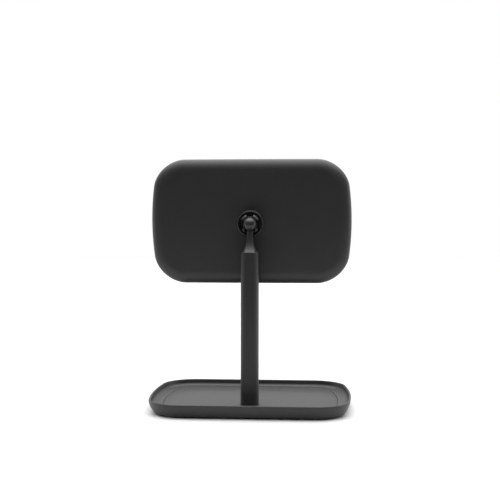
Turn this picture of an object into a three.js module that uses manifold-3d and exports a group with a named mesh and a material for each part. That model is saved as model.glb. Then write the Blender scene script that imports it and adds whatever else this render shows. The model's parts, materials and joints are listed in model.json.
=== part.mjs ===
// Countertop mirror: a weighted tray, a faceted post, and a mirror head on a ball joint.
// Millimetres, +Z up. The origin is on the table, under the middle of the tray.
// The glass faces -Y and the post stands towards +Y.

import * as THREE from "three";
import { mergeVertices } from "three/addons/utils/BufferGeometryUtils.js";
import Module from "manifold-3d";

const wasm = await Module();
wasm.setup();

// ---- driving dimensions ----

const GAP = 0.3; // clearance between pieces that fit into each other

// Tray, measured at the rim
const TRAY = { halfX: 95, halfY: 70, radius: 25.5, bowX: 7.4, bowY: 1 };
// The outer wall below the rim, as [inset, height]: nearly upright above, and curling in to the base
const WALL_CURVE = [
  [5.6, 1.6], [4.7, 2], [4, 2.8], [3.3, 3.7], [2.5, 4.8], [1.7, 6.2], [0.95, 8], [0.4, 9.9], [0.1, 11.6],
];
const FOOT_HEIGHT = 1.6;
const RIM_TOP = 13;
const FLOOR_TOP = 6.5;
const WEB_TOP = 5.4; // the sunk seat that the floor panel lies on
const PLATE_TOP = 3.9;
const PANEL_INSET = 12.5; // rim to the edge of the floor panel
const PLATE_INSET = 6.5; // rim to the edge of the base plate
const FOOT_RADIUS = 6;
const FOOT_X = 70;
const FOOT_Y = 47;
const PLATE_SCREW_X = 58;
const PLATE_SCREW_Y = 59.8;
const PLATE_SCREW = { shank: 1.25, head: 2.4, headDepth: 1.3, length: 4.3 };

// Post and ball stem
const POST_Y = 25;
const POST_HALF = 8.3; // middle of the post to each of its four wide faces
const POST_FLAT = 4.15; // half the width of a wide face
const POST_KNEE = 6.75; // the edge between the two facets of each corner
const POST_BORE = 5;
const POST_TOP = 147.6;
const BOSS_TOP = 12;
const BALL_Z = 174.2;
const BALL_RADIUS = 6.5;
const SPIGOT_LENGTH = 16;
const BOLT = { shank: 2, head: 3.9, headDepth: 1.9 };
const BOLT_TOP = 145.3;
// The neck, as [part of the post's section, height above the post]
const NECK = [
  [1, 0], [0.74, 1.7], [0.645, 3.4], [0.56, 5.3], [0.46, 8.1],
  [0.39, 11], [0.345, 15], [0.335, 18], [0.335, 23],
];

// Mirror head, with depths measured forward from the ball's centre
const LEAN = 4.3; // degrees that the head leans back at rest
const HEAD = { halfX: 95.4, halfY: 59.2, radius: 25.8, bowX: 6.8, bowY: 0.2 };
const HEAD_RISE = 1; // middle of the head above the ball
const BACK_DEPTH = 14;
const WALL = 2.2;
const EDGE_ROUND = { inset: 12, depth: 7 };
const FRONT_DEPTH = 23.5;
const GLASS = { inset: 2.3, back: 20.2, front: 23.2 };
const PLINTH = { x: 56, y: 32, width: 34, height: 14, top: 19 };

// Ball socket, in the same depths
const COLLAR = { outer: 12, inner: 10.9, rim: 2 };
const SOCKET_RADIUS = 6.75;
const FINGER = { outer: 9.4, tipOuter: 8, tipDepth: -2.6, root: 8 };
const SOCKET_OUTER = 10.5;
const FINGER_GAPS = [[-34, 27], [68, 112], [153, 214]]; // degrees round from the right-hand side
const GAP_DEPTH = 6;
const NOTCH_HALF = 4.85; // half the width of the way out for the neck
const NOTCH_DEPTH = 4.8;
const LINER = { inner: 7.5, outer: 8.2, angle: 60 };
const LINER_POCKET = 8.45;
const PAD = { inner: 6.75, outer: 7.25, angle: 22, rise: 29.5 };
const CLIP = { inner: 9.6, outer: 10.6, top: 3.4, bottom: 4.6, opening: 66 };
const SOCKET_SCREW = { shank: 0.9, head: 1.8, headDepth: 1, length: 6, circle: 7.6 };
const SOCKET_SCREW_COUNT = 3;

// Fineness of the curves
const CORNER_STEPS = 7;
const SIDE_STEPS = 4;
const ROUND_STEPS = 5;
const TURN_STEPS = 28;
const SMALL_TURN_STEPS = 18;

// ---- materials ----

function finish(color, roughness, metalness) {
  return new THREE.MeshStandardMaterial({ color, roughness, metalness });
}

const darkPlastic = finish(0x303031, 0.55, 0);
const floorPlastic = finish(0x37373a, 0.6, 0);
const coatedPost = finish(0x2c2c2d, 0.5, 0.1);
const stemPlastic = finish(0x323233, 0.4, 0.1);
const innerPlastic = finish(0x242425, 0.5, 0);
const steel = finish(0x9a9da0, 0.35, 1);
const zincSteel = finish(0xb4b6b8, 0.3, 1);
const rubber = finish(0x1b1b1c, 0.9, 0);
const foam = finish(0xe4e4e0, 0.95, 0);
const silvered = finish(0xdfe6ea, 0.03, 1);

// ---- solids ----

function toSolid(geometry) {
  const bare = geometry.clone();
  bare.deleteAttribute("normal");
  bare.deleteAttribute("uv");
  const merged = mergeVertices(bare, 1e-4);
  return new wasm.Manifold(new wasm.Mesh({
    numProp: 3,
    vertProperties: new Float32Array(merged.attributes.position.array),
    triVerts: new Uint32Array(merged.index.array),
  }));
}

function toGeometry(solid) {
  const mesh = solid.getMesh();
  const geometry = new THREE.BufferGeometry();
  geometry.setAttribute("position", new THREE.BufferAttribute(mesh.vertProperties, 3));
  geometry.setIndex(new THREE.BufferAttribute(mesh.triVerts, 1));
  geometry.computeVertexNormals();
  return geometry;
}

function join(first, ...others) {
  return toGeometry(others.reduce((whole, other) => whole.add(toSolid(other)), toSolid(first)));
}

function cut(first, ...others) {
  return toGeometry(others.reduce((whole, other) => whole.subtract(toSolid(other)), toSolid(first)));
}

// A stack of rings with equal point counts, closed by a fan at each end.
// Rings run counter-clockwise seen from +Z, and the first ring's fan looks down.
function loft(rings) {
  const count = rings[0].length;
  const points = rings.flat();
  const triangles = [];
  for (let ring = 0; ring < rings.length - 1; ring += 1) {
    for (let step = 0; step < count; step += 1) {
      const here = ring * count + step;
      const next = ring * count + (step + 1) % count;
      triangles.push(here, next, next + count, here, next + count, here + count);
    }
  }
  const last = (rings.length - 1) * count;
  for (let step = 1; step < count - 1; step += 1) {
    triangles.push(0, step + 1, step);
    triangles.push(last, last + step, last + step + 1);
  }
  const geometry = new THREE.BufferGeometry().setFromPoints(points);
  geometry.setIndex(triangles);
  geometry.computeVertexNormals();
  return geometry;
}

// A rounded rectangle drawn in by inset, its sides bowed outward like shallow parabolas.
function bowedOutline(outline, inset, height) {
  const sideX = outline.halfX - outline.bowX - inset;
  const sideY = outline.halfY - outline.bowY - inset;
  const radius = Math.max(outline.radius - inset, 2);
  const corners = [[1, 1], [-1, 1], [-1, -1], [1, -1]];
  const flat = [];
  corners.forEach(([signX, signY], index) => {
    for (let step = 0; step <= CORNER_STEPS; step += 1) {
      const angle = (index + step / CORNER_STEPS) * Math.PI / 2;
      const x = signX * (sideX - radius) + radius * Math.cos(angle);
      const y = signY * (sideY - radius) + radius * Math.sin(angle);
      flat.push(new THREE.Vector2(x, y));
    }
    const [nextX, nextY] = corners[(index + 1) % 4];
    const from = flat[flat.length - 1];
    const to = index % 2 === 0
      ? new THREE.Vector2(nextX * (sideX - radius), from.y)
      : new THREE.Vector2(from.x, nextY * (sideY - radius));
    for (let step = 1; step < SIDE_STEPS; step += 1) {
      flat.push(from.clone().lerp(to, step / SIDE_STEPS));
    }
  });
  return flat.map(({ x, y }) => new THREE.Vector3(
    x * (1 + outline.bowX / sideX * (1 - (y / sideY) ** 2)),
    y * (1 + outline.bowY / sideY * (1 - (x / sideX) ** 2)),
    height,
  ));
}

// A profile of [inset, height] pairs carried round an outline.
function sweepOutline(outline, profile) {
  return loft(profile.map(([inset, height]) => bowedOutline(outline, inset, height)));
}

// Points on a quarter of an ellipse between two profile points.
// "flat" leaves the first point level, "steep" leaves it upright.
function quarter(from, to, start) {
  const points = [];
  for (let step = 0; step <= ROUND_STEPS; step += 1) {
    const angle = step / ROUND_STEPS * Math.PI / 2;
    const quick = Math.sin(angle);
    const slow = 1 - Math.cos(angle);
    const [u, v] = start === "flat" ? [quick, slow] : [slow, quick];
    points.push([from[0] + u * (to[0] - from[0]), from[1] + v * (to[1] - from[1])]);
  }
  return points;
}

// A profile of [radius, height] pairs turned about the Z axis.
// It runs anticlockwise with the radius to the right and the height up.
function turn(profile, steps = TURN_STEPS) {
  const lathe = new THREE.LatheGeometry(profile.map(([r, z]) => new THREE.Vector2(r, z)), steps);
  return lathe.rotateX(Math.PI / 2);
}

function cylinder(radius, bottom, top, steps = SMALL_TURN_STEPS) {
  return turn([[0, bottom], [radius, bottom], [radius, top], [0, top]], steps);
}

function block(sizeX, sizeY, bottom, top) {
  return new THREE.BoxGeometry(sizeX, sizeY, top - bottom).translate(0, 0, (top + bottom) / 2);
}

// Profile points along an arc about the axis, at angles measured from +Z.
function arc(radius, fromAngle, toAngle, steps) {
  const points = [];
  for (let step = 0; step <= steps; step += 1) {
    const angle = THREE.MathUtils.degToRad(fromAngle + step / steps * (toAngle - fromAngle));
    points.push([radius * Math.sin(angle), radius * Math.cos(angle)]);
  }
  return points;
}

// A screw with a countersunk head at its lower end, from height 0 upward.
function countersunkScrew({ shank, head, headDepth, length }, spare = 0) {
  const below = spare > 0 ? -1 : 0;
  return turn([
    [0, below],
    [head + spare, below],
    [head + spare, 0.2],
    [shank + spare, headDepth + 0.2],
    [shank + spare, length + spare],
    [0, length + spare],
  ], SMALL_TURN_STEPS);
}

// The drive recess in a screw's head.
function driveRecess(size) {
  return new THREE.CylinderGeometry(size, size, 1.2, 6).rotateX(Math.PI / 2);
}

// ---- the frame that the pieces are placed in ----

const group = new THREE.Group();
const post = new THREE.Group();
post.position.set(0, POST_Y, 0);
const head = new THREE.Group();
head.position.set(0, POST_Y, BALL_Z);
head.rotation.x = THREE.MathUtils.degToRad(90 - LEAN);
const padFrame = new THREE.Group();
padFrame.position.copy(head.position);
padFrame.rotation.x = THREE.MathUtils.degToRad(90 - PAD.rise);
group.add(post, head, padFrame);

function place(parent, name, geometry, material) {
  const mesh = new THREE.Mesh(geometry, material);
  mesh.name = name;
  parent.add(mesh);
  return mesh;
}

// The four like positions at the corners of a rectangle, with the words that name them.
function cornerPlaces(x, y) {
  return [["front_left", -x, -y], ["front_right", x, -y], ["back_left", -x, y], ["back_right", x, y]];
}

// ---- tray ----

function trayShell() {
  const lip = PLATE_INSET - GAP;
  const profile = [
    [lip, PLATE_TOP],
    [lip, FOOT_HEIGHT],
    ...WALL_CURVE,
    [0, RIM_TOP - 0.5],
    [0.5, RIM_TOP],
    [1.4, RIM_TOP],
    [1.9, RIM_TOP - 0.5],
    ...quarter([2.3, 10.6], [7.5, FLOOR_TOP], "steep"),
    [PANEL_INSET - GAP, FLOOR_TOP],
    [PANEL_INSET - GAP, WEB_TOP],
  ];
  const boss = cylinder(POST_BORE - GAP, PLATE_TOP + 1, BOSS_TOP, TURN_STEPS).translate(0, POST_Y, 0);
  const boltHole = cylinder(BOLT.shank + GAP, 0, BOSS_TOP + 1).translate(0, POST_Y, 0);
  const screwHoles = cornerPlaces(PLATE_SCREW_X, PLATE_SCREW_Y).map(([, x, y]) => (
    cylinder(PLATE_SCREW.shank + GAP, 0, FOOT_HEIGHT + PLATE_SCREW.length + GAP).translate(x, y, 0)
  ));
  return cut(join(sweepOutline(TRAY, profile), boss), boltHole, ...screwHoles);
}

function floorPanel() {
  const slab = sweepOutline(TRAY, [[PANEL_INSET, WEB_TOP], [PANEL_INSET, FLOOR_TOP - 0.2],
    [PANEL_INSET + 0.2, FLOOR_TOP]]);
  return cut(slab, postPrism(GAP, 0, RIM_TOP).translate(0, POST_Y, 0));
}

function basePlate() {
  const slab = sweepOutline(TRAY, [[PLATE_INSET, FOOT_HEIGHT], [PLATE_INSET, PLATE_TOP]]);
  const boltHole = countersunkScrew({ ...BOLT, length: RIM_TOP }, GAP).translate(0, POST_Y, FOOT_HEIGHT);
  const screwHoles = cornerPlaces(PLATE_SCREW_X, PLATE_SCREW_Y).map(([, x, y]) => (
    countersunkScrew(PLATE_SCREW, GAP).translate(x, y, FOOT_HEIGHT)
  ));
  return cut(slab, boltHole, ...screwHoles);
}

function foot() {
  return turn([
    [0, 0],
    [FOOT_RADIUS - 0.6, 0],
    [FOOT_RADIUS, 0.6],
    [FOOT_RADIUS, FOOT_HEIGHT],
    [0, FOOT_HEIGHT],
  ], 20);
}

place(group, "tray_shell", trayShell(), darkPlastic);
place(group, "floor_panel", floorPanel(), floorPlastic);
place(group, "base_plate", basePlate(), steel);
for (const [side, x, y] of cornerPlaces(FOOT_X, FOOT_Y)) {
  place(group, `foot_${side}`, foot(), rubber).position.set(x, y, 0);
}
for (const [side, x, y] of cornerPlaces(PLATE_SCREW_X, PLATE_SCREW_Y)) {
  const screw = cut(countersunkScrew(PLATE_SCREW), driveRecess(1.1));
  place(group, `plate_screw_${side}`, screw, zincSteel).position.set(x, y, FOOT_HEIGHT);
}

// ---- post and ball stem ----

// The post's twelve-sided section: four wide faces, with two facets at each corner.
function postSection(grow, scale, height) {
  const half = POST_HALF + grow;
  const flat = POST_FLAT + grow * 0.4;
  const knee = POST_KNEE + grow * 0.8;
  const side = [[half, -flat], [half, flat], [knee, knee]];
  return [0, 1, 2, 3].flatMap((turns) => side.map(([x, y]) => (
    new THREE.Vector3(x * scale, y * scale, height)
      .applyAxisAngle(new THREE.Vector3(0, 0, 1), turns * Math.PI / 2)
  )));
}

function postPrism(grow, bottom, top) {
  return loft([postSection(grow, 1, bottom), postSection(grow, 1, top)]);
}

function postTube() {
  return cut(postPrism(0, WEB_TOP, POST_TOP), cylinder(POST_BORE, 0, POST_TOP + 1, TURN_STEPS));
}

function ballStem() {
  const neck = loft(NECK.map(([scale, height]) => postSection(0, scale, POST_TOP + height)));
  const ball = new THREE.SphereGeometry(BALL_RADIUS, TURN_STEPS, 16).translate(0, 0, BALL_Z);
  const spigot = cylinder(POST_BORE - GAP, POST_TOP - SPIGOT_LENGTH, POST_TOP + 1, TURN_STEPS);
  const thread = cylinder(BOLT.shank + GAP, 0, BOLT_TOP + GAP);
  return cut(join(neck, ball, spigot), thread);
}

function tieBolt() {
  const bolt = countersunkScrew({ ...BOLT, length: BOLT_TOP - FOOT_HEIGHT });
  return cut(bolt, driveRecess(1.5)).translate(0, 0, FOOT_HEIGHT);
}

place(post, "post_tube", postTube(), coatedPost);
place(post, "ball_stem", ballStem(), stemPlastic);
place(post, "tie_bolt", tieBolt(), zincSteel);

// ---- ball joint ----

// A thin shell that follows the ball, from its middle out to the given angle.
function sphericalCap({ inner, outer, angle }) {
  return turn([...arc(inner, 0, angle, 4), ...arc(outer, angle, 0, 4)], 24);
}

// The way out for the neck, below the ball and open to the back.
function neckNotch() {
  const reach = COLLAR.outer + 2;
  const depth = NOTCH_DEPTH - FINGER.tipDepth + 1;
  return new THREE.BoxGeometry(2 * NOTCH_HALF, reach, depth)
    .translate(0, -reach / 2, NOTCH_DEPTH - depth / 2);
}

function socketScrewPlaces() {
  return Array.from({ length: SOCKET_SCREW_COUNT }, (_, index) => {
    const angle = (index / SOCKET_SCREW_COUNT + 0.25) * 2 * Math.PI;
    return [SOCKET_SCREW.circle * Math.cos(angle), SOCKET_SCREW.circle * Math.sin(angle)];
  });
}

// The screws go in from inside the head, so their heads face forward.
function socketScrew(spare = 0) {
  return countersunkScrew(SOCKET_SCREW, spare).rotateX(Math.PI).translate(0, 0, BACK_DEPTH + WALL);
}

// A cup behind the ball with a ring of springy fingers that close over the ball's middle.
function ballSocket() {
  const base = BACK_DEPTH - GAP;
  const body = turn([
    ...arc(LINER_POCKET, 0, LINER.angle + 6, 4),
    ...arc(SOCKET_RADIUS, LINER.angle + 1, 112, 5),
    [FINGER.tipOuter, FINGER.tipDepth],
    [FINGER.outer, -0.6],
    [FINGER.outer, FINGER.root],
    [SOCKET_OUTER, FINGER.root],
    [SOCKET_OUTER, base],
    [0, base],
  ], 40);
  const reach = SOCKET_OUTER + 1;
  const gaps = FINGER_GAPS.map((angles) => {
    const sides = angles.map((angle) => (
      new THREE.Vector2(reach, 0).rotateAround(new THREE.Vector2(), THREE.MathUtils.degToRad(angle))
    ));
    const wedge = new THREE.Shape([new THREE.Vector2(), ...sides]);
    const depth = GAP_DEPTH - FINGER.tipDepth + 1;
    const prism = new THREE.ExtrudeGeometry(wedge, { depth, bevelEnabled: false });
    return prism.translate(0, 0, GAP_DEPTH - depth);
  });
  const holes = socketScrewPlaces().map(([x, y]) => socketScrew(GAP).translate(x, y, 0));
  return cut(body, neckNotch(), ...gaps, ...holes);
}

// A flat spring ring round the fingers, open at the bottom.
function springClip() {
  const half = THREE.MathUtils.degToRad(CLIP.opening / 2);
  const shape = new THREE.Shape();
  shape.absarc(0, 0, CLIP.outer, half, 2 * Math.PI - half, false);
  shape.absarc(0, 0, CLIP.inner, 2 * Math.PI - half, half, true);
  shape.closePath();
  const ring = new THREE.ExtrudeGeometry(shape, {
    depth: CLIP.bottom - CLIP.top,
    bevelEnabled: false,
    curveSegments: TURN_STEPS,
  });
  return ring.rotateZ(-Math.PI / 2).translate(0, 0, CLIP.top);
}

place(padFrame, "friction_pad", sphericalCap(PAD), rubber);
place(head, "ball_liner", sphericalCap(LINER), innerPlastic);
place(head, "ball_socket", ballSocket(), innerPlastic);
place(head, "spring_clip", springClip(), zincSteel);
socketScrewPlaces().forEach(([x, y], index) => {
  const screw = cut(countersunkScrew(SOCKET_SCREW), driveRecess(0.8)).rotateX(Math.PI);
  place(head, `socket_screw_${index + 1}`, screw, zincSteel).position.set(x, y, BACK_DEPTH + WALL);
});

// ---- mirror head ----

function backShell() {
  const floor = BACK_DEPTH + WALL;
  const profile = [
    ...quarter([EDGE_ROUND.inset, BACK_DEPTH], [0, BACK_DEPTH + EDGE_ROUND.depth], "flat"),
    [0, FRONT_DEPTH - 0.5],
    [0.5, FRONT_DEPTH],
    [GLASS.inset - GAP, FRONT_DEPTH],
    [GLASS.inset - GAP, GLASS.back - 0.2],
    [GLASS.inset + 2.4, GLASS.back - 0.2],
    [EDGE_ROUND.inset - 3, floor + 0.8],
    [EDGE_ROUND.inset + 1, floor],
  ];
  const dish = sweepOutline(HEAD, profile).translate(0, HEAD_RISE, 0);
  const plinths = cornerPlaces(PLINTH.x, PLINTH.y).map(([, x, y]) => (
    block(PLINTH.width, PLINTH.height, floor - 0.5, PLINTH.top).translate(x, y + HEAD_RISE, 0)
  ));
  const collar = turn([
    [COLLAR.inner, BACK_DEPTH + 0.5],
    [COLLAR.inner, COLLAR.rim + 0.3],
    [COLLAR.inner + 0.3, COLLAR.rim],
    [COLLAR.outer - 0.4, COLLAR.rim],
    [COLLAR.outer, COLLAR.rim + 0.5],
    [COLLAR.outer, BACK_DEPTH + 0.5],
    [COLLAR.inner, BACK_DEPTH + 0.5],
  ], 40);
  const holes = socketScrewPlaces().map(([x, y]) => socketScrew(GAP).translate(x, y, 0));
  return cut(join(dish, collar, ...plinths), neckNotch(), ...holes);
}

function mirrorGlass() {
  const bevel = 0.4;
  return sweepOutline(HEAD, [
    [GLASS.inset, GLASS.back],
    [GLASS.inset, GLASS.front - bevel],
    [GLASS.inset + bevel, GLASS.front],
  ]).translate(0, HEAD_RISE, 0);
}

place(head, "back_shell", backShell(), darkPlastic);
for (const [side, x, y] of cornerPlaces(PLINTH.x, PLINTH.y)) {
  const name = side.replace("front", "lower").replace("back", "upper");
  const tape = block(PLINTH.width - 2, PLINTH.height - 2, PLINTH.top + 0.1, GLASS.back - 0.1);
  place(head, `foam_tape_${name}`, tape, foam).position.set(x, y + HEAD_RISE, 0);
}
place(head, "mirror_glass", mirrorGlass(), silvered);

export default group;
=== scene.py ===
"""Countertop mirror: the visible pieces, finishes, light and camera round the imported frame."""

import json
import math

import bmesh
import bpy
import numpy as np
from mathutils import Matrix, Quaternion, Vector


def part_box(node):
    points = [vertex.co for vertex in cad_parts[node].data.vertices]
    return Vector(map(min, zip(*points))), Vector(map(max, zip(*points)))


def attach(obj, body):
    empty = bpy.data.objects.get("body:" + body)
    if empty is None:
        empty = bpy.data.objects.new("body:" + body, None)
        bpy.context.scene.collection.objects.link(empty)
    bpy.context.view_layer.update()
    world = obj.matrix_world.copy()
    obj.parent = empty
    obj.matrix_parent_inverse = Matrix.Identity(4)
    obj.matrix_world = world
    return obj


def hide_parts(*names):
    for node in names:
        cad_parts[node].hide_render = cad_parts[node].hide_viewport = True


bl_info = {
    "name": "Countertop Mirror",
    "version": (1, 0, 0),
    "blender": (4, 5, 0),
    "location": "View3D > Sidebar > Mirror",
    "description": "Builds a tabletop mirror on a ball joint, with its weighted tray",
    "category": "Object",
}

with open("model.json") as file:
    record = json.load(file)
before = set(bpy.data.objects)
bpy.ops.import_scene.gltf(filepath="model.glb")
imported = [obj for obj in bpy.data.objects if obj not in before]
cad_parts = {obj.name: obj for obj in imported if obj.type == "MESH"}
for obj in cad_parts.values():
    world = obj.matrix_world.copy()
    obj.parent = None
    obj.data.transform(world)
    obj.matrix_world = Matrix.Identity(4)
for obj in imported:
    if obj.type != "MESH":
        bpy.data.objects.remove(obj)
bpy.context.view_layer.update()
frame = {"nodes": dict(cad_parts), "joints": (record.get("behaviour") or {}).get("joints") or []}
MM = 0.001


def node_box(name):
    """Lowest and highest corner of a CAD node, in millimetres."""
    low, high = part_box(name)
    return np.array(low) / MM, np.array(high) / MM


def mm(size):
    """A length property in millimetres."""
    return size / MM


def joint(name):
    """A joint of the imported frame."""
    return next(j for j in frame["joints"] if j["name"] == name)


# ---- places read from the frame, in millimetres ----

BALL_CENTRE = np.array(joint("head_roll")["pos_m"]) / MM
FRONT_TO_BACK = np.array(joint("head_roll")["axis"])
LEAN = math.atan2(-FRONT_TO_BACK[2], FRONT_TO_BACK[1])
TRAY_LOW, TRAY_HIGH = node_box("tray_shell")
PANEL_LOW, PANEL_HIGH = node_box("floor_panel")
PLATE_LOW, PLATE_HIGH = node_box("base_plate")
POST_LOW, POST_HIGH = node_box("post_tube")
STEM_LOW, STEM_HIGH = node_box("ball_stem")
SHELL_LOW, SHELL_HIGH = node_box("back_shell")
TRAY_FLOOR = PANEL_HIGH[2]
POST_Y = (POST_LOW[1] + POST_HIGH[1]) / 2
POST_HALF = (POST_HIGH[0] - POST_LOW[0]) / 2
CORNERS = ["front_left", "front_right", "back_left", "back_right"]
HEAD_HALF_WIDTH = (SHELL_HIGH[0] - SHELL_LOW[0]) / 2

# ---- sizes shared with the inner parts of the frame, in millimetres ----

HEAD_RISE = 1.0  # middle of the head above the ball, along the head
BACK_DEPTH = 14.0  # ball's middle to the flat back
FRONT_DEPTH = 23.5  # ball's middle to the front lip
GLASS_BACK = 20.2  # ball's middle to the back of the glass
GLASS_FRONT = 23.2
GLASS_INSET = 2.3
POST_BORE = 5.0
SPIGOT = 4.7  # radius of the stem's part inside the post
CLEARANCE = 0.3
SOCKET_RADIUS = 6.75  # the fingers' grip on the ball
LINER_POCKET = 8.45
FINGER_OUTER = 9.4
SOCKET_OUTER = 10.5
COLLAR_INNER = 10.9
COLLAR_OUTER = 12.0
COLLAR_RIM = 2.0
FINGER_GAPS_DEGREES = ((-34, 27), (68, 112), (153, 214))
NOTCH_HALF_WIDTH = 4.85
NOTCH_DEPTH = 4.8


# ---- sizes and colours that a user would change ----


def length(name, words, default, low=0.0):
    """A length property in metres."""
    return bpy.props.FloatProperty(
        name=name, description=words, default=default, min=low, unit="LENGTH", precision=4)


def angle(name, words, degrees):
    """An angle property."""
    return bpy.props.FloatProperty(
        name=name, description=words, default=math.radians(degrees), unit="ROTATION")


def colour(name, words, default):
    """A colour property."""
    return bpy.props.FloatVectorProperty(
        name=name, description=words, default=default, subtype="COLOR", size=3, min=0.0, max=1.0)


class TraySizes(bpy.types.PropertyGroup):
    """Sizes of the tray."""

    corner_radius: length("Corner Radius", "Radius of the tray's corners at the rim", 0.0255, 0.013)
    side_bow: length("Side Bow", "How far the short sides bow out", 0.0074)
    front_bow: length("Front Bow", "How far the long sides bow out", 0.001)
    wall_curl: length("Wall Curl", "How far the outer wall curls in towards the base", 0.0048)
    rim_width: length("Rim Width", "Thickness of the wall at the rim", 0.0019, 0.0008)
    rim_round: length("Rim Round", "Radius of the rim's two edges", 0.0008)
    panel_inset: length("Panel Inset", "Rim to the edge of the floor panel", 0.0125, 0.009)
    panel_gap: length("Panel Gap", "Width of the dark line round the floor panel", 0.0004)


class PostSizes(bpy.types.PropertyGroup):
    """Sizes of the post and of the stem on it."""

    flat: length("Wide Face", "Half the width of a wide face of the post", 0.00415)
    knee: length("Corner Edge", "Distance of each corner's middle edge from both middle planes", 0.00675)
    edge: length("Edge Softness", "How far each edge of the post is rounded", 0.0006)
    neck: length("Neck", "Half the width of the neck under the ball", 0.00278)


class HeadSizes(bpy.types.PropertyGroup):
    """Sizes of the mirror head."""

    half_height: length("Half Height", "Half the height of the head, along its own lean", 0.0592)
    corner_radius: length("Corner Radius", "Radius of the head's corners", 0.0258, 0.013)
    side_bow: length("Side Bow", "How far the short sides bow out", 0.0068)
    top_bow: length("Top Bow", "How far the long sides bow out", 0.0002)
    round_inset: length("Edge Round", "How far in from the edge the back starts to curve", 0.012, 0.002)
    round_depth: length("Edge Depth", "How deep the curve of the back's edge is", 0.007, 0.001)


class FinishColours(bpy.types.PropertyGroup):
    """Colours of the finishes."""

    plastic: colour("Plastic", "Moulded dark grey plastic", (0.0125, 0.0125, 0.0127))
    post: colour("Post", "Powder coat on the post", (0.0115, 0.0115, 0.0118))
    socket: colour("Socket", "Plastic of the ball socket", (0.0070, 0.0070, 0.0072))
    rubber: colour("Rubber", "Feet and friction pad", (0.010, 0.010, 0.0105))
    zinc: colour("Zinc", "Zinc plating of the plate and the screws", (0.56, 0.57, 0.58))
    spring: colour("Spring", "Blackened steel of the spring ring", (0.05, 0.05, 0.053))
    silver: colour("Silver", "The mirror's silvering seen through the glass", (0.86, 0.88, 0.885))
    floor: colour("Studio Floor", "Pale floor under the mirror", (0.54, 0.54, 0.54))


class StageSettings(bpy.types.PropertyGroup):
    """The camera's place and lens, and the strength of the light."""

    focal: bpy.props.FloatProperty(
        name="Focal Length", description="Lens on a 36 mm sensor", default=61.175, unit="CAMERA")
    shift: bpy.props.FloatProperty(
        name="Vertical Shift", description="Share of the image's width that the view moves up",
        default=0.00167)
    distance: length("Distance", "Camera to the point it looks at", 0.81606)
    azimuth: angle("Azimuth", "Turn of the camera from straight behind the mirror", 3.597)
    elevation: angle("Elevation", "Height of the camera above level", 1.081)
    roll: angle("Roll", "Turn of the camera about its line of sight", 0.063)
    target: bpy.props.FloatVectorProperty(
        name="Target", description="The point that the camera looks at", size=3, subtype="TRANSLATION",
        default=(0.001443, 0.0, 0.148665))
    top: bpy.props.FloatProperty(
        name="Top Light", description="Power of the soft light overhead", default=2.0, unit="POWER")
    side: bpy.props.FloatProperty(
        name="Side Lights", description="Power of the two strips beside the mirror", default=1.8,
        unit="POWER")


def settings():
    """The property groups of this scene."""
    return bpy.context.scene.countertop_mirror


# ---- outlines and profiles ----


def corner_fans(steps):
    """Unit arcs of the four corners of a rectangle, counter-clockwise from the +X +Y one.
    Returns the corners' signs and the arcs' cosines and sines, one value for each outline point."""
    angle = np.linspace(0, math.pi / 2, steps)
    turns = np.repeat(np.arange(4) * math.pi / 2, steps) + np.tile(angle, 4)
    sign_x = np.repeat([1, -1, -1, 1], steps)
    sign_y = np.repeat([1, 1, -1, -1], steps)
    return sign_x, sign_y, np.cos(turns), np.sin(turns)


def densify(loop, most):
    """Adds evenly spaced points to the sides of a closed loop that are longer than most."""
    side = np.roll(loop, -1, 0) - loop
    counts = np.maximum(1, np.ceil(np.linalg.norm(side, axis=1) / most).astype(int))
    start = np.repeat(np.arange(len(loop)), counts)
    first = np.repeat(np.cumsum(counts) - counts, counts)
    share = (np.arange(counts.sum()) - first) / np.repeat(counts, counts)
    return loop[start] + side[start] * share[:, None]


def bowed_outline(half_x, half_y, radius, bow_x, bow_y, inset, corner_steps=22, longest=7.0):
    """Rounded rectangles drawn in by each inset, with their sides bowed out like shallow parabolas.
    A point's x grows by the bow times one less its y squared, as a share of the half size, and so does its y.
    Returns an array of len(inset) x points x 2."""
    inset = np.atleast_1d(np.asarray(inset, float))[:, None]
    sign_x, sign_y, cos, sin = corner_fans(corner_steps)
    side_x, side_y = half_x - bow_x, half_y - bow_y
    base = np.stack([sign_x * (side_x - radius) + radius * cos, sign_y * (side_y - radius) + radius * sin], 1)
    base = densify(base, longest)
    core = np.clip(base, [radius - side_x, radius - side_y], [side_x - radius, side_y - radius])
    out = (base - core) / radius
    drawn_radius = np.maximum(radius - inset, 2.0)
    squeeze_x = (side_x - inset - drawn_radius) / (side_x - radius)
    squeeze_y = (side_y - inset - drawn_radius) / (side_y - radius)
    x = core[:, 0] * squeeze_x + out[:, 0] * drawn_radius
    y = core[:, 1] * squeeze_y + out[:, 1] * drawn_radius
    room_x, room_y = side_x - inset, side_y - inset
    bowed_x = x * (1 + bow_x / room_x * (1 - (y / room_y) ** 2))
    bowed_y = y * (1 + bow_y / room_y * (1 - (x / room_x) ** 2))
    return np.stack([bowed_x, bowed_y], -1)


def rounded(points, radii, steps=7):
    """An open or closed polyline with each corner turned into an arc tangent to its two sides.
    A radius of 0 keeps the corner. The arc's middle lies on the bisector of the corner."""
    points = np.asarray(points, float)
    made = [points[:1]]
    for before, here, after, radius in zip(points[:-2], points[1:-1], points[2:], radii[1:-1]):
        if radius <= 0:
            made.append(here[None])
            continue
        back = (before - here) / np.linalg.norm(before - here)
        ahead = (after - here) / np.linalg.norm(after - here)
        half = math.acos(np.clip(back @ ahead, -1, 1)) / 2
        reach = radius / math.tan(half)
        centre = here + (back + ahead) / np.linalg.norm(back + ahead) * radius / math.sin(half)
        first, last = here + back * reach - centre, here + ahead * reach - centre
        share = np.linspace(0, 1, steps)[:, None]
        spread = math.pi - 2 * half
        swept = np.sin((1 - share) * spread) * first + np.sin(share * spread) * last
        made.append(centre + swept / math.sin(spread))
    made.append(points[-1:])
    return np.concatenate(made)


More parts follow.
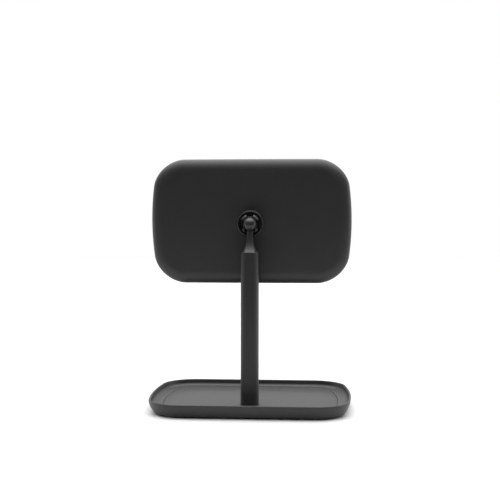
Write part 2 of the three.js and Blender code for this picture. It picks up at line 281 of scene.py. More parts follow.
def quarter_ellipse(start, end, flat_first, steps=16):
    """Points from start to end on a quarter ellipse, level at the start if flat_first and upright if not."""
    angle = np.linspace(0, math.pi / 2, steps)
    quick, slow = np.sin(angle), 1 - np.cos(angle)
    across, up = (quick, slow) if flat_first else (slow, quick)
    start, end = np.asarray(start, float), np.asarray(end, float)
    return start + np.stack([across, up], 1) * (end - start)


def turned(profile, steps):
    """A profile of (radius, height) points carried round the Z axis, as a profile x angle grid."""
    angle = np.arange(steps) / steps * 2 * math.pi
    radius, height = profile[:, 0][:, None], profile[:, 1][:, None]
    return np.stack([radius * np.cos(angle), radius * np.sin(angle), height + 0 * angle], -1)


def round_outline(outline, profile):
    """A profile of (inset, height) points carried round an outline function, as a profile x outline grid."""
    flat = outline(profile[:, 0])
    height = np.broadcast_to(profile[:, 1][:, None, None], flat.shape[:2] + (1,))
    return np.concatenate([flat, height], -1)


def to_head(points):
    """Turns points of (across, up the head, depth in front of the ball) into the row frame."""
    across, up, depth = np.moveaxis(points, -1, 0)
    y = BALL_CENTRE[1] + up * math.sin(LEAN) - depth * math.cos(LEAN)
    z = BALL_CENTRE[2] + up * math.cos(LEAN) + depth * math.sin(LEAN)
    return np.stack([across + BALL_CENTRE[0], y, z], -1)


# ---- meshes ----


def grid_faces(rows, columns, close_rows):
    """Quads between the neighbouring points of a grid whose columns close into a ring."""
    last = rows if close_rows else rows - 1
    row, column = np.meshgrid(np.arange(last), np.arange(columns), indexing="ij")
    above, beside = (row + 1) % rows, (column + 1) % columns
    quads = [(row, column), (row, beside), (above, beside), (above, column)]
    return np.stack([line * columns + place for line, place in quads], -1).reshape(-1, 4)


def signed_volume(points, quads):
    a, b, c, d = (points[quads[:, k]] for k in range(4))
    return (np.einsum("ij,ij->i", a, np.cross(b, c)) + np.einsum("ij,ij->i", a, np.cross(c, d))).sum()


class Shell:
    """Closed grids gathered into one mesh, in millimetres."""

    def __init__(self):
        self.points, self.faces, self.count = [], [], 0

    def add(self, grid, close_rows=False):
        """Adds a grid of rows x columns points. Open ends are closed by one flat face each,
        and a row whose points are all alike is a pole. Faces are turned to point outward."""
        grid = np.asarray(grid, float)
        rows, columns = grid.shape[:2]
        points = grid.reshape(-1, 3)
        quads = grid_faces(rows, columns, close_rows)
        faces = list(quads)
        centred = points - points.mean(0)
        if not close_rows:
            faces += [np.arange(columns)[::-1], np.arange(columns) + (rows - 1) * columns]
        if signed_volume(centred, quads) < 0:
            faces = [face[::-1] for face in faces]
        self.points.append(points)
        self.faces += [(face + self.count).tolist() for face in faces]
        self.count += len(points)
        return self

    def make(self, name, sharp=32.0):
        """Puts the grids into a mesh object, welds the poles and smooths all but the sharp edges."""
        mesh = bpy.data.meshes.new(name)
        mesh.from_pydata(np.concatenate(self.points) * MM, [], self.faces)
        work = bmesh.new()
        work.from_mesh(mesh)
        bmesh.ops.remove_doubles(work, verts=work.verts, dist=1e-7)
        flat = [face for face in work.faces if face.calc_area() < 1e-16]
        bmesh.ops.delete(work, geom=flat, context="FACES_ONLY")
        work.to_mesh(mesh)
        work.free()
        mesh.shade_smooth()
        mesh.set_sharp_from_angle(angle=math.radians(sharp))
        piece = bpy.data.objects.new(name, mesh)
        bpy.context.scene.collection.objects.link(piece)
        return piece


def dress(piece, material, body, slot, *nodes):
    """Gives a piece its material and body, and hides the CAD nodes that it stands for."""
    piece.data.materials.append(material)
    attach(piece, body)
    if nodes:
        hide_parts(*nodes)
    return piece


def dress_node(node, material):
    """Gives a CAD node that stays its material."""
    data = frame["nodes"][node].data
    data.materials.clear()
    data.materials.append(material)


# ---- shader maths ----


class Value:
    """A socket that Python's arithmetic extends with Math nodes."""

    def __init__(self, graph, socket):
        self.graph, self.socket = graph, socket

    def math(self, operation, *others):
        inputs = dict(enumerate([self, *others]))
        return self.graph.node("ShaderNodeMath", {"operation": operation}, inputs)["Value"]

    def __add__(self, other):
        return self.math("ADD", other)

    def __mul__(self, other):
        return self.math("MULTIPLY", other)

    def __sub__(self, other):
        return self.math("SUBTRACT", other)

    def __rsub__(self, other):
        return self.graph.node("ShaderNodeMath", {"operation": "SUBTRACT"}, {0: other, 1: self})["Value"]

    __radd__ = __add__
    __rmul__ = __mul__


class Outputs:
    """A node's outputs by name, each wrapped as a Value."""

    def __init__(self, graph, node):
        self.graph, self.raw = graph, node

    def __getitem__(self, name):
        return Value(self.graph, self.raw.outputs[name])


class Graph:
    """The node tree of a material or a world."""

    def __init__(self, owner):
        owner.use_nodes = True
        self.owner, self.tree = owner, owner.node_tree
        self.shader = self.tree.nodes.get("Principled BSDF")

    def node(self, kind, values, inputs):
        """Adds a node, sets its settings first and then the values or links of its sockets."""
        made = self.tree.nodes.new(kind)
        for name, value in values.items():
            setattr(made, name, value)
        for name, value in inputs.items():
            self.feed(made.inputs[name], value)
        return Outputs(self, made)

    def feed(self, socket, value):
        """Links a Value to a socket, or sets the socket's own value."""
        if isinstance(value, Value):
            self.tree.links.new(value.socket, socket)
        else:
            socket.default_value = value

    def set(self, **inputs):
        """Sets the Principled shader's sockets, with spaces in their names written as underscores."""
        for name, value in inputs.items():
            self.feed(self.shader.inputs[name.replace("_", " ")], value)

    def place(self, stretch=(1.0, 1.0, 1.0)):
        """Object coordinates in metres, each multiplied by its share of stretch."""
        where = self.node("ShaderNodeTexCoord", {}, {})["Object"]
        return self.node("ShaderNodeVectorMath", {"operation": "MULTIPLY"}, {0: where, 1: stretch})["Vector"]

    def noise(self, where, size, detail=2.0, roughness=0.5):
        """Noise whose features are about size millimetres across, around 0.5."""
        inputs = {"Vector": where, "Scale": 1 / (size * MM), "Detail": detail, "Roughness": roughness}
        return self.node("ShaderNodeTexNoise", {}, inputs)["Fac"]

    def mix(self, amount, colour, dark, light):
        """A colour times a share that runs from dark to light as the amount goes from 0 to 1."""
        ends = [(*(min(channel * share, 1.0) for channel in colour), 1.0) for share in (dark, light)]
        inputs = {0: amount, 6: ends[0], 7: ends[1]}
        return self.node("ShaderNodeMix", {"data_type": "RGBA"}, inputs)[2]

    def bump(self, height, strength, distance):
        """A bumped normal whose heights are counted in millimetres."""
        inputs = {"Height": height, "Strength": strength, "Distance": distance * MM}
        return self.node("ShaderNodeBump", {}, inputs)["Normal"]


def new_graph(name):
    """The graph of a new material."""
    return Graph(bpy.data.materials.new(name))


def moulded_plastic(name, colour, roughness, grain=0.35, depth=0.012):
    """Plastic with an even spark-eroded texture: fine grain, and soft patches that shine differently."""
    graph = new_graph(name)
    where = graph.place()
    fine = graph.noise(where, grain, 3.0, 0.6)
    patches = graph.noise(where, 14.0, 3.0, 0.55)
    streaks = graph.noise(where, 3.0, 2.0, 0.5)
    graph.set(
        Base_Color=graph.mix(patches * 0.6 + fine * 0.4, colour, 0.86, 1.14),
        Roughness=roughness - 0.05 + patches * 0.06 + streaks * 0.04,
        Normal=graph.bump(fine, 0.35, depth),
        Specular_IOR_Level=0.5,
    )
    return graph.owner


def powder_coat(name, colour, roughness):
    """Powder coat: a slight orange peel under a fine sparkle-free grain."""
    graph = new_graph(name)
    where = graph.place()
    peel = graph.noise(where, 1.3, 2.0, 0.5)
    fine = graph.noise(where, 0.3, 2.0, 0.6)
    patches = graph.noise(where, 18.0, 2.0, 0.5)
    graph.set(
        Base_Color=graph.mix(patches * 0.5 + fine * 0.5, colour, 0.88, 1.12),
        Roughness=roughness - 0.04 + patches * 0.05 + peel * 0.03,
        Normal=graph.bump(peel * 0.75 + fine * 0.25, 0.3, 0.02),
    )
    return graph.owner


def rubber(name, colour):
    """Matte rubber with a dusty bloom in patches."""
    graph = new_graph(name)
    where = graph.place()
    bloom = graph.noise(where, 4.0, 4.0, 0.6)
    fine = graph.noise(where, 0.25, 2.0, 0.6)
    graph.set(
        Base_Color=graph.mix(bloom, colour, 0.8, 1.6),
        Roughness=0.72 + bloom * 0.2,
        Normal=graph.bump(fine, 0.4, 0.02),
    )
    return graph.owner


def zinc_plate(name, colour, roughness):
    """Zinc plating: bright metal with faint rolling lines along X and cloudy patches."""
    graph = new_graph(name)
    lines = graph.noise(graph.place((0.06, 1.0, 1.0)), 0.5, 3.0, 0.6)
    clouds = graph.noise(graph.place(), 6.0, 3.0, 0.55)
    graph.set(
        Base_Color=graph.mix(clouds, colour, 0.8, 1.1),
        Roughness=roughness + lines * 0.12 + clouds * 0.08 - 0.1,
        Normal=graph.bump(lines, 0.2, 0.01),
        Metallic=1.0,
    )
    return graph.owner


def foam_tape(name):
    """White closed-cell foam."""
    graph = new_graph(name)
    cells = graph.noise(graph.place(), 0.4, 2.0, 0.6)
    graph.set(
        Base_Color=graph.mix(cells, (0.72, 0.72, 0.69), 0.86, 1.12),
        Roughness=0.85 + cells * 0.1,
        Normal=graph.bump(cells, 0.5, 0.05),
    )
    return graph.owner


def silvered_glass(name, colour):
    """A mirror: near-perfect reflection, with faint wipe marks that only show in the gloss."""
    graph = new_graph(name)
    wipes = graph.noise(graph.place((0.25, 1.0, 1.0)), 16.0, 3.0, 0.55)
    cloud = graph.noise(graph.place(), 30.0, 2.0, 0.5)
    graph.set(
        Base_Color=graph.mix(cloud, colour, 0.985, 1.0),
        Roughness=0.012 + wipes * 0.02,
        Metallic=1.0,
    )
    return graph.owner


MATERIALS = {}


def finish_of(name):
    """The material of that name, made when it is first asked for."""
    if name not in MATERIALS:
        colours = settings().colours
        makers = {
            "moulded plastic": lambda: moulded_plastic("moulded_plastic", colours.plastic, 0.46),
            "ball plastic": lambda: moulded_plastic("ball_plastic", colours.plastic, 0.36, 0.5, 0.004),
            "socket plastic": lambda: moulded_plastic("socket_plastic", colours.socket, 0.42, 0.4, 0.006),
            "powder coat": lambda: powder_coat("powder_coat", colours.post, 0.44),
            "rubber": lambda: rubber("foot_rubber", colours.rubber),
            "zinc": lambda: zinc_plate("zinc_plating", colours.zinc, 0.38),
            "spring steel": lambda: zinc_plate("blackened_steel", colours.spring, 0.4),
            "foam": lambda: foam_tape("foam_tape"),
            "silvered glass": lambda: silvered_glass("silvered_glass", colours.silver),
        }
        MATERIALS[name] = makers[name]()
    return MATERIALS[name]


class BuildOperator(bpy.types.Operator):
    """Shared options of the build operators."""

    bl_options = {"REGISTER", "UNDO"}


# ---- tray ----


def tray_outline(inset):
    """The tray's outline, drawn in from the rim."""
    sizes = settings().tray
    return bowed_outline(
        TRAY_HIGH[0], TRAY_HIGH[1], mm(sizes.corner_radius), mm(sizes.side_bow), mm(sizes.front_bow), inset)


class MIRROR_OT_tray_shell(BuildOperator):
    """Make the tray: a dished wall, a thin rim and the seat of the floor panel.
    The outer wall's inset is the curl times the square of its share of the way down from the rim."""

    bl_idname = "mirror.tray_shell"
    bl_label = "Tray"

    def execute(self, context):
        sizes = settings().tray
        bottom, rim, web = TRAY_LOW[2], TRAY_HIGH[2], PANEL_LOW[2]
        lip = TRAY_HIGH[0] - PLATE_HIGH[0] - CLEARANCE
        seat = mm(sizes.panel_inset - sizes.panel_gap)
        inner, soft, curl = mm(sizes.rim_width), mm(sizes.rim_round), mm(sizes.wall_curl)
        fall = rim - bottom
        height = np.linspace(bottom + 1.3, rim - soft - 0.1, 22)
        wall = np.stack([curl * ((rim - height) / fall) ** 2, height], 1)
        slope = 2 * curl * (rim - height[0]) / fall ** 2
        base_edge = wall[0, 0] + slope * (height[0] - bottom)
        web_reach = 8  # how far the closing faces over the web and the plate run inward
        cove_end, flat_start = 6.6, 8.5  # insets where the cove meets the floor
        plate_top = PLATE_HIGH[2]
        underside = [
            (lip + web_reach, plate_top), (lip, plate_top), (lip, bottom), (base_edge, bottom), wall[0]]
        rim_edge = [(0, rim - soft), (0, rim), (inner, rim), (inner + 0.4, rim - 2.4)]
        panel_seat = [(flat_start, TRAY_FLOOR), (seat, TRAY_FLOOR), (seat, web), (seat + web_reach, web)]
        profile = np.concatenate([
            rounded(underside, [0, 0.3, 0.25, 0.8, 0]),
            wall[1:],
            rounded(rim_edge, [0, soft, soft, 0], 10)[1:],
            quarter_ellipse((inner + 0.42, rim - 2.5), (cove_end, TRAY_FLOOR), False, 22),
            rounded(panel_seat, [0, 0.25, 0.15, 0]),
        ])
        piece = Shell().add(round_outline(tray_outline, profile)).make("tray_shell_skin")
        dress(piece, finish_of("moulded plastic"), "base", "tray_plastic", "tray_shell")
        return {"FINISHED"}


def post_section(half, flat, knee, soft, steps=4):
    """The post's twelve-sided section with soft edges: four wide faces and two facets at each corner. Each
    edge is replaced by points of a parabola that touches both sides, soft millimetres from the edge."""
    side = np.array([[half, -flat], [half, flat], [knee, knee]])
    turns = np.arange(4) * math.pi / 2
    spin = np.stack([np.cos(turns), -np.sin(turns), np.sin(turns), np.cos(turns)], 1).reshape(4, 2, 2)
    corners = np.einsum("tij,sj->tsi", spin, side).reshape(-1, 2)
    before, after = np.roll(corners, 1, 0) - corners, np.roll(corners, -1, 0) - corners
    before /= np.linalg.norm(before, axis=1, keepdims=True)
    after /= np.linalg.norm(after, axis=1, keepdims=True)
    share = np.linspace(0, 1, steps)[None, :, None]
    start, end = (corners + before * soft)[:, None], (corners + after * soft)[:, None]
    curve = (1 - share) ** 2 * start + 2 * share * (1 - share) * corners[:, None] + share ** 2 * end
    return curve.reshape(-1, 2)


def post_outline(grow=0.0):
    """The post's section in its present sizes, drawn out by a clearance."""
    sizes = settings().post
    return post_section(
        POST_HALF + grow, mm(sizes.flat) + grow * 0.4, mm(sizes.knee) + grow * 0.8, mm(sizes.edge))


def circle_like(section, radius=1.0):
    """A circle with one point in the direction of each point of a section."""
    angle = np.arctan2(section[:, 1], section[:, 0])
    return np.stack([np.cos(angle), np.sin(angle)], 1) * radius


def stacked(sections, heights):
    """Sections of equal point counts at their heights, as a grid."""
    flat = np.asarray(sections, float)
    height = np.broadcast_to(np.asarray(heights, float)[:, None, None], flat.shape[:2] + (1,))
    return np.concatenate([flat, height], -1)


class MIRROR_OT_floor_panel(BuildOperator):
    """Make the panel let into the tray's floor. Its top is ruled between the hole for the post and the
    outline: each outline point joins the point of the hole that lies in the same direction from the post."""

    bl_idname = "mirror.floor_panel"
    bl_label = "Floor Panel"

    def execute(self, context):
        inset = mm(settings().tray.panel_inset)
        bottom, top = PANEL_LOW[2], PANEL_HIGH[2]
        edges = tray_outline(np.array([inset, inset + 0.08, inset + 0.22])) - [0, POST_Y]
        angle = np.arctan2(edges[0][:, 1], edges[0][:, 0])
        order = np.argsort(angle)
        edges, angle = edges[:, order], angle[order]
        hole = densify(post_outline(CLEARANCE), 0.7)
        hole_angle = np.arctan2(hole[:, 1], hole[:, 0])
        by_angle = np.argsort(hole_angle)
        reach = np.linalg.norm(hole, axis=1)[by_angle]
        hole_reach = np.interp(angle, hole_angle[by_angle], reach, period=2 * math.pi)
        hole_edge = np.stack([np.cos(angle), np.sin(angle)], 1) * hole_reach[:, None]
        share = np.array([0.02, 0.3, 0.65, 1.0])[:, None, None]
        ruled = hole_edge + (edges[2] - hole_edge) * share
        rings = [hole_edge, hole_edge, *ruled, edges[1], edges[0], edges[0]]
        heights = [bottom, top - 0.1, *[top] * len(share), top - 0.08, top - 0.25, bottom]
        grid = stacked(rings, heights) + [0, POST_Y, 0]
        piece = Shell().add(grid, close_rows=True).make("floor_panel_skin")
        dress(piece, finish_of("moulded plastic"), "base", "floor_plastic", "floor_panel")
        return {"FINISHED"}


class MIRROR_OT_base_plate(BuildOperator):
    """Make the steel plate under the tray, its cut edges slightly rounded."""

    bl_idname = "mirror.base_plate"
    bl_label = "Base Plate"

    def execute(self, context):
        inset = TRAY_HIGH[0] - PLATE_HIGH[0]
        bottom, top = PLATE_LOW[2], PLATE_HIGH[2]
        profile = rounded(
            [(inset + 6, bottom), (inset, bottom), (inset, top), (inset + 6, top)], [0, 0.35, 0.35, 0])
        piece = Shell().add(round_outline(tray_outline, profile)).make("base_plate_skin")
        dress(piece, finish_of("zinc"), "base", "plate_steel", "base_plate")
        return {"FINISHED"}


class MIRROR_OT_feet(BuildOperator):
    """Make the rubber feet: low discs with a rounded lower edge, turned from a profile."""

    bl_idname = "mirror.feet"
    bl_label = "Feet"

    def execute(self, context):
        for side in CORNERS:
            low, high = node_box(f"foot_{side}")
            centre, radius, height = (low + high) / 2, (high[0] - low[0]) / 2, high[2]
            profile = rounded(
                [(0, 0), (radius * 0.55, 0), (radius - 0.2, 0.02), (radius, height), (0, height)],
                [0, 0.5, 0.9, 0.15, 0])
            grid = turned(profile, 64) + [centre[0], centre[1], 0]
            piece = Shell().add(grid).make(f"foot_{side}_skin")
            dress(piece, finish_of("rubber"), "base", "foot_rubber", f"foot_{side}")
        return {"FINISHED"}


# ---- post and ball stem ----


class MIRROR_OT_post(BuildOperator):
    """Make the post: its outer section carried up, and back down inside as a round bore."""

    bl_idname = "mirror.post"
    bl_label = "Post"

    def execute(self, context):
        bottom, top = POST_LOW[2], POST_HIGH[2]
        outer = post_outline()
        bore = circle_like(outer, POST_BORE)
        heights = [bottom, top - 0.12, top, top, bottom]
        grid = stacked([outer, outer, outer * 0.99, bore, bore], heights) + [0, POST_Y, 0]
        piece = Shell().add(grid, close_rows=True).make("post_skin")
        dress(piece, finish_of("powder coat"), "base", "post_paint", "post_tube")
        return {"FINISHED"}


class MIRROR_OT_ball_stem(BuildOperator):
    """Make the stem: the post's section shrinks up a sloped shoulder and a hollow flare into a slim neck,
    which turns round and runs into the ball. On the flare the section's share is the neck's share plus
    the rest times one less the way up, to the power of the flare's hollow."""

    bl_idname = "mirror.ball_stem"
    bl_label = "Ball Stem"

    def execute(self, context):
        foot, centre = POST_HIGH[2], BALL_CENTRE[2]
        ball, neck = STEM_HIGH[2] - centre, mm(settings().post.neck)
        shoulder = np.array([(1.0, 0.0), (0.99, 0.1), (0.752, 1.6), (0.738, 1.75)])
        hollow, straight_length = 2.3, 9.6
        flare_top = centre - straight_length - foot
        rise = np.linspace(0, 1, 28)[1:]
        neck_share = neck / POST_HALF
        share = neck_share + (shoulder[-1, 0] - neck_share) * (1 - rise) ** hollow
        height = shoulder[-1, 1] + (flare_top - shoulder[-1, 1]) * rise
        scale = np.concatenate([shoulder, np.stack([share, height], 1)])
        section = post_outline()
        circle = circle_like(section)
        sweep = np.linspace(math.pi - math.asin(neck / ball), 0, 40)
        arc_height = centre - foot + ball * np.cos(sweep)
        blend = np.linspace(0, 1, 8)[1:-1][:, None, None]
        rings = np.concatenate([
            circle[None] * np.array([SPIGOT, SPIGOT])[:, None, None],
            section[None] * scale[:, 0][:, None, None],
            (1 - blend) * section[None] * neck_share + blend * circle[None] * neck,
            circle[None] * (ball * np.sin(sweep))[:, None, None],
        ])
        neck_heights = np.linspace(flare_top, arc_height[0], 8)[1:-1]
        heights = np.concatenate([[STEM_LOW[2] - foot, 0.0], scale[:, 1], neck_heights, arc_height])
        piece = Shell().add(stacked(rings, heights + foot) + [0, POST_Y, 0]).make("ball_stem_skin", 24.0)
        dress(piece, finish_of("ball plastic"), "base", "stem_plastic", "ball_stem")
        return {"FINISHED"}


# ---- ball socket ----


def sector(profile, start, end, steps, soft=0.25):
    """A closed profile of (radius, depth) points carried round the ball's axis from one angle to another,
    where each point may have an end angle of its own. The first and last rings are drawn in towards the
    profile's middle, so that the ends have a soft edge."""
    profile = np.asarray(profile, float)
    middle = profile.mean(0)
    shrink = 1 - soft / np.linalg.norm(profile - middle, axis=1).max()
    margin = soft / middle[0]
    start, end = (np.broadcast_to(side, len(profile)) for side in (start, end))
    way = np.concatenate([[0.0], np.linspace(0, 1, steps), [1.0]])[:, None]
    angle = start + (end - start) * way
    angle[1] += margin * np.sign(end - start)
    angle[-2] -= margin * np.sign(end - start)
    share = np.ones(len(way))
    share[[0, -1]] = shrink
    section = middle + (profile - middle)[None] * share[:, None, None]
    radius, depth = section[..., 0], section[..., 1]
    return np.stack([radius * np.cos(angle), radius * np.sin(angle), depth], -1)


class MIRROR_OT_ball_socket(BuildOperator):
    """Make the cup behind the ball and the four springy fingers that close round it. The lower two end
    at the upright sides of the notch, so each of their points ends where its own radius meets that side."""

    bl_idname = "mirror.ball_socket"
    bl_label = "Ball Socket"

    def execute(self, context):
        pocket = np.linspace(0, math.radians(66), 14)
        base = BACK_DEPTH - CLEARANCE
        profile = np.concatenate([
            LINER_POCKET * np.stack([np.sin(pocket), np.cos(pocket)], 1),
            rounded([(7.75, 3.5), (7.9, 6.0), (FINGER_OUTER, 6.0), (FINGER_OUTER, 8.0), (SOCKET_OUTER, 8.0),
                     (SOCKET_OUTER, base), (0, base)], [0, 0.2, 0.2, 0.1, 0.3, 0.2, 0]),
        ])
        shell = Shell().add(to_head(turned(profile, 96)))
        grip = np.radians(np.linspace(58, 110, 12))
        inner = SOCKET_RADIUS * np.stack([np.sin(grip), np.cos(grip)], 1)
        tip = [(8.0, -2.6), (FINGER_OUTER, -0.6), (FINGER_OUTER, 6.6), (7.3, 6.6)]
        outer = rounded([inner[-1], *tip, inner[0]], [0, 0.45, 0.7, 0.2, 0.2, 0])
        finger = np.concatenate([inner, outer[1:-1]])
        notch_side = np.arcsin(NOTCH_HALF_WIDTH / finger[:, 0])
        gaps = np.radians(FINGER_GAPS_DEGREES)
        (right_low, right_high), (top_right, top_left), (left_high, left_low) = gaps
        spans = [
            (right_high, top_right),
            (top_left, left_high),
            (left_low, 1.5 * math.pi - notch_side),
            (-math.pi / 2 + notch_side, right_low),
        ]
        for start, end in spans:
            shell.add(to_head(sector(finger, start, end, 14)))
        piece = shell.make("ball_socket_skin")
        dress(piece, finish_of("socket plastic"), "head", "socket_plastic", "ball_socket")
        return {"FINISHED"}


class MIRROR_OT_spring_clip(BuildOperator):
    """Make the spring ring of round wire in the gap round the fingers, its ends rounded off."""

    bl_idname = "mirror.spring_clip"
    bl_label = "Spring Clip"

    def execute(self, context):
        half_open, wire_radius, ring_radius, depth = math.radians(33), 0.45, 10.1, 4.0
        turn = np.linspace(0, 2 * math.pi, 21)[:-1]
        wire = np.stack([ring_radius + wire_radius * np.cos(turn), depth + wire_radius * np.sin(turn)], 1)
        start = -math.pi / 2 + half_open
        grid = sector(wire, start, start + 2 * math.pi - 2 * half_open, 90)
        piece = Shell().add(to_head(grid)).make("spring_clip_skin")
        dress(piece, finish_of("spring steel"), "head", "clip_steel", "spring_clip")
        return {"FINISHED"}


# ---- mirror head ----


def head_outline(inset):
    """The head's outline, drawn in from its widest line."""
    sizes = settings().head
    flat = bowed_outline(
        HEAD_HALF_WIDTH, mm(sizes.half_height), mm(sizes.corner_radius), mm(sizes.side_bow),
        mm(sizes.top_bow), inset)
    return flat + [0, HEAD_RISE]


def notched(grid, outside):
    """Lowers the rim of a ring to the notch's floor where the neck leaves it.
    The window is open for points below the ball and closer to its middle plane than the notch's half
    width, and its sides fall off by a smooth step."""
    side_slope = 0.18
    across, up = grid[..., 0], grid[..., 1]
    edge = np.clip((NOTCH_HALF_WIDTH - np.abs(across)) / side_slope, 0, 1)
    window = np.where(up < 0, edge * edge * (3 - 2 * edge), 0)
    deepest = window * NOTCH_DEPTH + (1 - window) * outside
    lowered = grid.copy()
    lowered[..., 2] = np.maximum(grid[..., 2], deepest)
    return lowered


def ring_angles():
    """Angles round the collar, evenly spaced, with many more close to the notch's edges."""
    edge = math.asin(NOTCH_HALF_WIDTH / COLLAR_OUTER)
    fine = np.concatenate([np.linspace(-0.05, 0.05, 25) + side * edge for side in (-1, 1)])
    fine_inner = np.concatenate([np.linspace(-0.02, 0.05, 14) + side * edge * 1.09 for side in (-1, 1)])
    coarse = np.linspace(-math.pi, math.pi, 121)[:-1]
    return np.unique(np.concatenate([fine, fine_inner, coarse]).round(6)) - math.pi / 2


class MIRROR_OT_back_shell(BuildOperator):
    """Make the back of the head, from the flat back round its soft edge to the front lip and down inside,
    with the collar standing on it. The collar is a ring whose rim drops to the notch's floor."""

    bl_idname = "mirror.back_shell"
    bl_label = "Back Shell"

    def execute(self, context):
        sizes = settings().head
        start = (mm(sizes.round_inset), BACK_DEPTH)
        widest = (0.0, BACK_DEPTH + mm(sizes.round_depth))
        lip, seat, web = 2.0, 20.0, 16.2  # width of the front lip, seat of the glass, inside of the back
        profile = np.concatenate([
            quarter_ellipse(start, widest, True, 30),
            rounded([(0.0, widest[1] + 0.3), (0.0, FRONT_DEPTH), (lip, FRONT_DEPTH), (lip, seat), (4.7, seat),
                     (9.0, 17.0), (13.0, web), (20.0, web)], [0, 0.7, 0.5, 0.2, 0.3, 0.5, 1.0, 0]),
        ])
        shell = Shell().add(to_head(round_outline(head_outline, profile)))
        angle, foot = ring_angles(), BACK_DEPTH + 0.4
        ring = rounded(
            [(COLLAR_INNER, foot), (COLLAR_INNER, COLLAR_RIM), (COLLAR_OUTER, COLLAR_RIM),
             (COLLAR_OUTER, BACK_DEPTH), (COLLAR_OUTER + 0.9, foot)], [0, 0.45, 0.5, 0.8, 0], 9)
        radius, depth = ring[:, 0][:, None], ring[:, 1][:, None]
        grid = np.stack([radius * np.cos(angle), radius * np.sin(angle), depth + 0 * angle], -1)
        shell.add(to_head(notched(grid, COLLAR_RIM)), close_rows=True)
        piece = shell.make("back_shell_skin")
        dress(piece, finish_of("moulded plastic"), "head", "shell_plastic", "back_shell")
        return {"FINISHED"}


class MIRROR_OT_mirror_glass(BuildOperator):
    """Make the glass pane with ground, slightly rounded edges."""

    bl_idname = "mirror.mirror_glass"
    bl_label = "Mirror Glass"

    def execute(self, context):
        back, front, inset = GLASS_BACK, GLASS_FRONT, GLASS_INSET
        profile = rounded(
            [(inset + 6, back), (inset, back), (inset, front), (inset + 6, front)], [0, 0.3, 0.45, 0])
        piece = Shell().add(to_head(round_outline(head_outline, profile))).make("mirror_glass_skin", 50.0)
        dress(piece, finish_of("silvered glass"), "head", "mirror_glass", "mirror_glass")
        return {"FINISHED"}


class MIRROR_OT_inner_parts(BuildOperator):
    """Finish the parts that stay as drawn: fasteners, joint inserts and foam."""

    bl_idname = "mirror.inner_parts"
    bl_label = "Inner Parts"

    def execute(self, context):
        levels = [f"{level}_{side}" for level in ("lower", "upper") for side in ("left", "right")]
        kept = {
            "zinc": ["tie_bolt", *(f"plate_screw_{side}" for side in CORNERS),
                     *(f"socket_screw_{index}" for index in (1, 2, 3))],
            "rubber": ["friction_pad"],
            "socket plastic": ["ball_liner"],
            "foam": [f"foam_tape_{level}" for level in levels],
        }
        for material, nodes in kept.items():
            for node in nodes:
                dress_node(node, finish_of(material))
        return {"FINISHED"}


# ---- stage ----


def area_light(name, place, aim, size, power):
    """A rectangular soft white light, placed and aimed in metres."""
    data = bpy.data.lights.new(name, "AREA")
    data.shape, data.size, data.size_y = "RECTANGLE", *size
    data.energy = power
    lamp = bpy.data.objects.new(name, data)
    lamp.location = place
    lamp.rotation_mode = "QUATERNION"
    lamp.rotation_quaternion = (Vector(aim) - Vector(place)).to_track_quat("-Z", "Y")
    bpy.context.scene.collection.objects.link(lamp)


# Strengths of the room's light, as the object meets it
BACK_WALL = 0.13
HORIZON = 0.98
UPPER_WALL = 0.72
ZENITH = 3.9


def studio_world():
    """Light from the room: plain white to the camera, and for all other rays bright overhead,
    even on the mirror's side and dark on the side of the camera."""
    world = bpy.data.worlds.new("studio")
    bpy.context.scene.world = world
    graph = Graph(world)
    graph.tree.nodes.clear()
    where = graph.node("ShaderNodeTexCoord", {}, {})["Generated"]
    split = graph.node("ShaderNodeSeparateXYZ", {}, {"Vector": where})
    height, depth = split["Z"], split["Y"]

    def ramp(value, low, high, low_level, high_level):
        inputs = {
            "Value": value, "From Min": low, "From Max": high, "To Min": low_level, "To Max": high_level}
        return graph.node("ShaderNodeMapRange", {"interpolation_type": "SMOOTHSTEP"}, inputs)["Result"]

    front = ramp(height, 0.12, 0.5, HORIZON, UPPER_WALL)
    share = ramp(depth, -0.35, 0.35, 0.0, 1.0)
    level = front * (1.0 - share) + share * BACK_WALL
    overhead = ramp(height, 0.5, 0.85, 0.0, 1.0)
    strength = level * (1.0 - overhead) + overhead * ZENITH
    seen = graph.node("ShaderNodeLightPath", {}, {})["Is Camera Ray"]
    background = graph.node("ShaderNodeBackground", {}, {
        "Color": (1.0, 1.0, 1.0, 1.0), "Strength": strength * (1.0 - seen) + seen})
    graph.node("ShaderNodeOutputWorld", {}, {"Surface": background["Background"]})


def build_floor():
    """A wide pale floor at the table's level, which ends just in front of the camera's side."""
    reach, near = 5.0, 0.36
    corners = [(-reach, -reach, 0), (reach, -reach, 0), (reach, near, 0), (-reach, near, 0)]
    mesh = bpy.data.meshes.new("studio_floor")
    mesh.from_pydata(corners, [], [(0, 1, 2, 3)])
    floor = bpy.data.objects.new("studio_floor", mesh)
    bpy.context.scene.collection.objects.link(floor)
    graph = new_graph("studio_floor")
    mottle = graph.noise(graph.place(), 60.0, 3.0, 0.5)
    graph.set(
        Base_Color=graph.mix(mottle, settings().colours.floor, 0.99, 1.0),
        Roughness=0.6 + mottle * 0.05,
        Specular_IOR_Level=0.2,
    )
    mesh.materials.append(graph.owner)


def build_camera():
    """The camera behind the mirror, a little to its side and nearly level."""
    stage = settings().stage
    level = math.cos(stage.elevation)
    back = Vector((
        -math.sin(stage.azimuth) * level, math.cos(stage.azimuth) * level, math.sin(stage.elevation)))
    data = bpy.data.cameras.new("camera")
    data.lens, data.sensor_width, data.shift_y = stage.focal, 36.0, stage.shift
    data.clip_start, data.clip_end = 0.01, 50.0
    camera = bpy.data.objects.new("camera", data)
    camera.location = Vector(stage.target) + back * stage.distance
    camera.rotation_mode = "QUATERNION"
    camera.rotation_quaternion = (-back).to_track_quat("-Z", "Y") @ Quaternion((0, 0, 1), stage.roll)
    bpy.context.scene.collection.objects.link(camera)
    bpy.context.scene.camera = camera


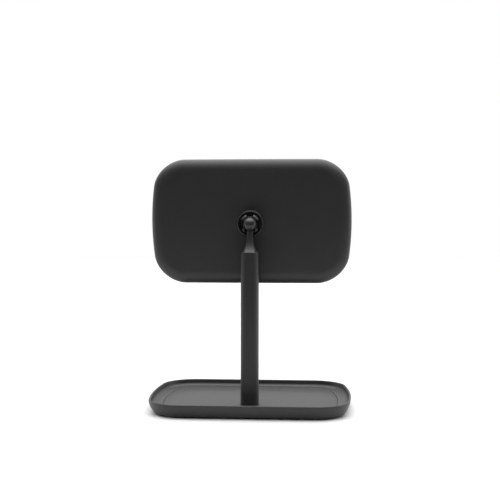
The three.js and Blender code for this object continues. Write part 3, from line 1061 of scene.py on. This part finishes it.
class MIRROR_OT_stage(BuildOperator):
    """Make the floor, the light and the camera."""

    bl_idname = "mirror.stage"
    bl_label = "Stage"

    def execute(self, context):
        stage = settings().stage
        studio_world()
        build_floor()
        area_light("top_softbox", (0.0, -0.15, 1.2), (0, 0, 0.1), (1.0, 0.8), stage.top)
        area_light("left_softbox", (1.0, -0.15, 0.5), (0, 0, 0.12), (0.4, 0.9), stage.side * 0.7)
        area_light("right_softbox", (-1.0, -0.15, 0.5), (0, 0, 0.12), (0.4, 0.9), stage.side * 1.3)
        build_camera()
        return {"FINISHED"}


# ---- add-on ----


class MirrorSettings(bpy.types.PropertyGroup):
    """All settings of the mirror."""

    tray: bpy.props.PointerProperty(type=TraySizes)
    post: bpy.props.PointerProperty(type=PostSizes)
    head: bpy.props.PointerProperty(type=HeadSizes)
    colours: bpy.props.PointerProperty(type=FinishColours)
    stage: bpy.props.PointerProperty(type=StageSettings)


OPERATORS = [
    MIRROR_OT_stage, MIRROR_OT_tray_shell, MIRROR_OT_floor_panel, MIRROR_OT_base_plate, MIRROR_OT_feet,
    MIRROR_OT_post, MIRROR_OT_ball_stem, MIRROR_OT_ball_socket, MIRROR_OT_spring_clip, MIRROR_OT_back_shell,
    MIRROR_OT_mirror_glass, MIRROR_OT_inner_parts,
]


class MIRROR_PT_build(bpy.types.Panel):
    """Sidebar panel with the build steps and the settings."""

    bl_label = "Countertop Mirror"
    bl_space_type = "VIEW_3D"
    bl_region_type = "UI"
    bl_category = "Mirror"

    def draw(self, context):
        column = self.layout.column(align=True)
        for made in OPERATORS:
            column.operator(made.bl_idname)
        shown = settings()
        for group in (shown.tray, shown.post, shown.head, shown.colours, shown.stage):
            box = self.layout.box()
            for name in group.bl_rna.properties.keys():
                if name not in ("rna_type", "name"):
                    box.prop(group, name)


CLASSES = [
    TraySizes, PostSizes, HeadSizes, FinishColours, StageSettings, MirrorSettings, *OPERATORS,
    MIRROR_PT_build,
]


def register():
    """Registers the classes and the scene's settings."""
    for made in CLASSES:
        bpy.utils.register_class(made)
    bpy.types.Scene.countertop_mirror = bpy.props.PointerProperty(type=MirrorSettings)


def unregister():
    """Undoes register."""
    del bpy.types.Scene.countertop_mirror
    for made in reversed(CLASSES):
        bpy.utils.unregister_class(made)


def main():
    register()
    bpy.context.scene.view_settings.view_transform = "Standard"
    bpy.ops.mirror.stage()
    bpy.ops.mirror.tray_shell()
    bpy.ops.mirror.floor_panel()
    bpy.ops.mirror.base_plate()
    bpy.ops.mirror.feet()
    bpy.ops.mirror.post()
    bpy.ops.mirror.ball_stem()
    bpy.ops.mirror.ball_socket()
    bpy.ops.mirror.spring_clip()
    bpy.ops.mirror.back_shell()
    bpy.ops.mirror.mirror_glass()
    bpy.ops.mirror.inner_parts()


if __name__ == "__main__":
    main()
